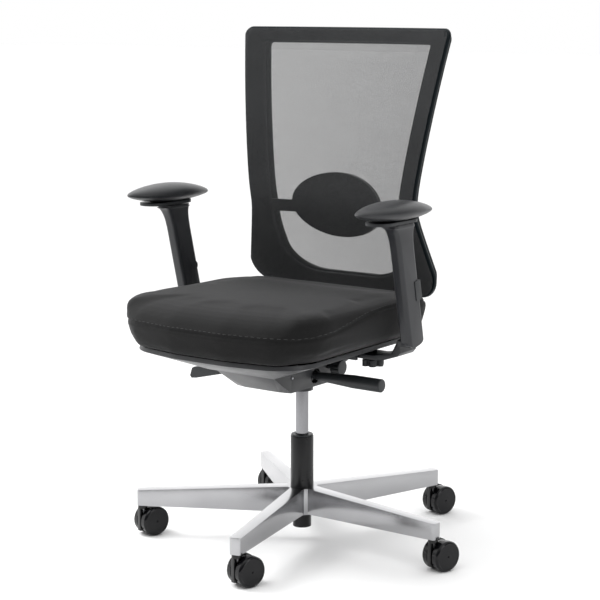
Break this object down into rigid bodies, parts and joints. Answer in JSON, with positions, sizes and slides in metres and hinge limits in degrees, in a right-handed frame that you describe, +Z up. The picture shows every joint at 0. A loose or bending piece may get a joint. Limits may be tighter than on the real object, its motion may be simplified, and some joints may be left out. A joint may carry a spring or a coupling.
{
  "type": "swivel office chair",
  "caption": "Office swivel chair with a see-through mesh back, lumbar pad, padded seat, height-adjustable armrests, gas lift and a five-arm metal base on twin-wheel casters.",
  "frame": {"origin": "on the floor, under the axis of the lift column", "axes": "+Z up along the column, -Y towards the front edge of the seat, +X towards the left hand of a seated person"},
  "size_m": [0.7255, 0.7497, 1.101],
  "materials": {
    "polished_aluminium": "polished",
    "chrome_rod": "polished",
    "steel": "satin",
    "black_tube": "semi gloss powder coat",
    "black_plastic": "fine moulded grain",
    "caster_plastic": "gloss",
    "wheel_plastic": "gloss rim, satin disc",
    "black_metal": "satin powder coat",
    "grey_plastic": "fine moulded grain",
    "seat_fabric": "fine woven",
    "frame_plastic": "satin",
    "mesh_fabric": "open net weave",
    "arm_plastic": "satin moulded",
    "arm_pad_skin": "soft integral skin, semi gloss"
  },
  "bodies": {
    "base": {"star_base": "polished_aluminium", "lift_tube": "black_tube", "lift_bush": "black_plastic", "piston_rod": "steel", "lift_clip": "steel"},
    "caster_1": {"caster_hood_1": "caster_plastic", "caster_steel_1": "steel"},
    "wheel_1a": {"wheel_a_1": "wheel_plastic"},
    "wheel_1b": {"wheel_b_1": "wheel_plastic"},
    "caster_2": {"caster_hood_2": "caster_plastic", "caster_steel_2": "steel"},
    "wheel_2a": {"wheel_a_2": "wheel_plastic"},
    "wheel_2b": {"wheel_b_2": "wheel_plastic"},
    "caster_3": {"caster_hood_3": "caster_plastic", "caster_steel_3": "steel"},
    "wheel_3a": {"wheel_a_3": "wheel_plastic"},
    "wheel_3b": {"wheel_b_3": "wheel_plastic"},
    "caster_4": {"caster_hood_4": "caster_plastic", "caster_steel_4": "steel"},
    "wheel_4a": {"wheel_a_4": "wheel_plastic"},
    "wheel_4b": {"wheel_b_4": "wheel_plastic"},
    "caster_5": {"caster_hood_5": "caster_plastic", "caster_steel_5": "steel"},
    "wheel_5a": {"wheel_a_5": "wheel_plastic"},
    "wheel_5b": {"wheel_b_5": "wheel_plastic"},
    "lift": {"pressure_cylinder": "chrome_rod"},
    "mechanism": {"tilt_housing": "black_metal", "housing_shell": "grey_plastic", "pivot_pins": "steel"},
    "back": {"back_upright": "black_metal", "back_frame_rear": "frame_plastic", "back_frame_front": "frame_plastic", "back_mesh": "mesh_fabric", "lumbar_pad": "black_plastic", "lumbar_bar": "black_plastic", "back_screws": "steel"},
    "seat": {"seat_plate": "black_metal", "seat_pan": "grey_plastic", "seat_cushion": "seat_fabric", "seat_screws": "steel", "arm_rails": "black_plastic"},
    "height_lever": {"height_lever": "black_plastic"},
    "lock_lever": {"lock_lever": "black_plastic"},
    "tension_knob": {"tension_knob": "black_plastic"},
    "arm_left": {"arm_bracket_left": "black_metal"},
    "star_left": {"star_knob_left": "black_plastic"},
    "sleeve_left": {"arm_sleeve_left": "arm_plastic"},
    "button_left": {"arm_button_left": "black_plastic"},
    "pad_left": {"arm_pad_base_left": "black_plastic", "arm_pad_left": "arm_pad_skin"},
    "arm_right": {"arm_bracket_right": "black_metal"},
    "star_right": {"star_knob_right": "black_plastic"},
    "sleeve_right": {"arm_sleeve_right": "arm_plastic"},
    "button_right": {"arm_button_right": "black_plastic"},
    "pad_right": {"arm_pad_base_right": "black_plastic", "arm_pad_right": "arm_pad_skin"}
  },
  "joints": [
    {"name": "caster_1_swivel", "type": "hinge", "parent": "base", "child": "caster_1", "pos_m": [0.13021, 0.32488, 0.06], "axis": [0, 0, 1], "continuous": true},
    {"name": "wheel_1a_roll", "type": "hinge", "parent": "caster_1", "child": "wheel_1a", "pos_m": [0.13664, 0.34592, 0.0323], "axis": [0.9563, -0.2924, 0], "continuous": true},
    {"name": "wheel_1b_roll", "type": "hinge", "parent": "caster_1", "child": "wheel_1b", "pos_m": [0.13664, 0.34592, 0.0323], "axis": [0.9563, -0.2924, 0], "continuous": true},
    {"name": "caster_2_swivel", "type": "hinge", "parent": "base", "child": "caster_2", "pos_m": [-0.26874, 0.22423, 0.06], "axis": [0, 0, 1], "continuous": true},
    {"name": "wheel_2a_roll", "type": "hinge", "parent": "caster_2", "child": "wheel_2a", "pos_m": [-0.26231, 0.24527, 0.0323], "axis": [0.9563, -0.2924, 0], "continuous": true},
    {"name": "wheel_2b_roll", "type": "hinge", "parent": "caster_2", "child": "wheel_2b", "pos_m": [-0.26231, 0.24527, 0.0323], "axis": [0.9563, -0.2924, 0], "continuous": true},
    {"name": "caster_3_swivel", "type": "hinge", "parent": "base", "child": "caster_3", "pos_m": [-0.2963, -0.1863, 0.06], "axis": [0, 0, 1], "continuous": true},
    {"name": "wheel_3a_roll", "type": "hinge", "parent": "caster_3", "child": "wheel_3a", "pos_m": [-0.28987, -0.16526, 0.0323], "axis": [0.9563, -0.2924, 0], "continuous": true},
    {"name": "wheel_3b_roll", "type": "hinge", "parent": "caster_3", "child": "wheel_3b", "pos_m": [-0.28987, -0.16526, 0.0323], "axis": [0.9563, -0.2924, 0], "continuous": true},
    {"name": "caster_4_swivel", "type": "hinge", "parent": "base", "child": "caster_4", "pos_m": [0.08562, -0.33937, 0.06], "axis": [0, 0, 1], "continuous": true},
    {"name": "wheel_4a_roll", "type": "hinge", "parent": "caster_4", "child": "wheel_4a", "pos_m": [0.09205, -0.31833, 0.0323], "axis": [0.9563, -0.2924, 0], "continuous": true},
    {"name": "wheel_4b_roll", "type": "hinge", "parent": "caster_4", "child": "wheel_4b", "pos_m": [0.09205, -0.31833, 0.0323], "axis": [0.9563, -0.2924, 0], "continuous": true},
    {"name": "caster_5_swivel", "type": "hinge", "parent": "base", "child": "caster_5", "pos_m": [0.34921, -0.02344, 0.06], "axis": [0, 0, 1], "continuous": true},
    {"name": "wheel_5a_roll", "type": "hinge", "parent": "caster_5", "child": "wheel_5a", "pos_m": [0.35565, -0.0024, 0.0323], "axis": [0.9563, -0.2924, 0], "continuous": true},
    {"name": "wheel_5b_roll", "type": "hinge", "parent": "caster_5", "child": "wheel_5b", "pos_m": [0.35565, -0.0024, 0.0323], "axis": [0.9563, -0.2924, 0], "continuous": true},
    {"name": "lift_height", "type": "slide", "parent": "base", "child": "lift", "axis": [0, 0, 1], "range_m": [-0.085, 0.012]},
    {"name": "seat_swivel", "type": "hinge", "parent": "lift", "child": "mechanism", "pos_m": [0, 0, 0.37], "axis": [0, 0, 1], "continuous": true},
    {"name": "recline", "type": "hinge", "parent": "mechanism", "child": "back", "pos_m": [0, 0.03, 0.392], "axis": [-1, 0, 0], "range_deg": [0, 18], "stiffness_Nm_per_rad": 60, "springref_deg": -28.65},
    {"name": "seat_tilt", "type": "hinge", "parent": "mechanism", "child": "seat", "pos_m": [0, -0.09, 0.396], "axis": [-1, 0, 0], "range_deg": [0, 7.2]},
    {"name": "height_lever_lift", "type": "hinge", "parent": "mechanism", "child": "height_lever", "pos_m": [0.064, -0.052, 0.381], "axis": [0, -1, 0], "range_deg": [0, 8], "stiffness_Nm_per_rad": 3, "springref_deg": -11.46},
    {"name": "lock_lever_tilt", "type": "hinge", "parent": "mechanism", "child": "lock_lever", "pos_m": [-0.064, -0.052, 0.386], "axis": [0, 1, 0], "range_deg": [-4, 10]},
    {"name": "tension_knob_turn", "type": "hinge", "parent": "mechanism", "child": "tension_knob", "pos_m": [0.1, -0.007, 0.395], "axis": [1, 0, 0], "continuous": true},
    {"name": "arm_left_width", "type": "slide", "parent": "seat", "child": "arm_left", "axis": [1, 0, 0], "range_m": [0, 0.025]},
    {"name": "star_left_turn", "type": "hinge", "parent": "arm_left", "child": "star_left", "pos_m": [0.183, 0, 0.41], "axis": [0, 0, 1], "continuous": true},
    {"name": "arm_left_height", "type": "slide", "parent": "arm_left", "child": "sleeve_left", "axis": [0.0153, -0.23, 0.9731], "range_m": [0, 0.07]},
    {"name": "arm_left_button", "type": "slide", "parent": "sleeve_left", "child": "button_left", "axis": [-0.9999, 0, 0.0157], "range_m": [0, 0.0032], "stiffness_N_per_m": 400, "springref_m": -0.002},
    {"name": "arm_left_pad_turn", "type": "hinge", "parent": "sleeve_left", "child": "pad_left", "pos_m": [0.29157, -0.07122, 0.722], "axis": [0, 0, 1], "range_deg": [-20, 20]},
    {"name": "arm_right_width", "type": "slide", "parent": "seat", "child": "arm_right", "axis": [-1, 0, 0], "range_m": [0, 0.025]},
    {"name": "star_right_turn", "type": "hinge", "parent": "arm_right", "child": "star_right", "pos_m": [-0.183, 0, 0.41], "axis": [0, 0, 1], "continuous": true},
    {"name": "arm_right_height", "type": "slide", "parent": "arm_right", "child": "sleeve_right", "axis": [-0.0153, -0.23, 0.9731], "range_m": [0, 0.07]},
    {"name": "arm_right_button", "type": "slide", "parent": "sleeve_right", "child": "button_right", "axis": [0.9999, 0, 0.0157], "range_m": [0, 0.0032], "stiffness_N_per_m": 400, "springref_m": -0.002},
    {"name": "arm_right_pad_turn", "type": "hinge", "parent": "sleeve_right", "child": "pad_right", "pos_m": [-0.29157, -0.07122, 0.722], "axis": [0, 0, 1], "range_deg": [-20, 20]}
  ],
  "couplings": [
    {"joint": "seat_tilt", "follows": "recline", "ratio": 0.4}
  ]
}
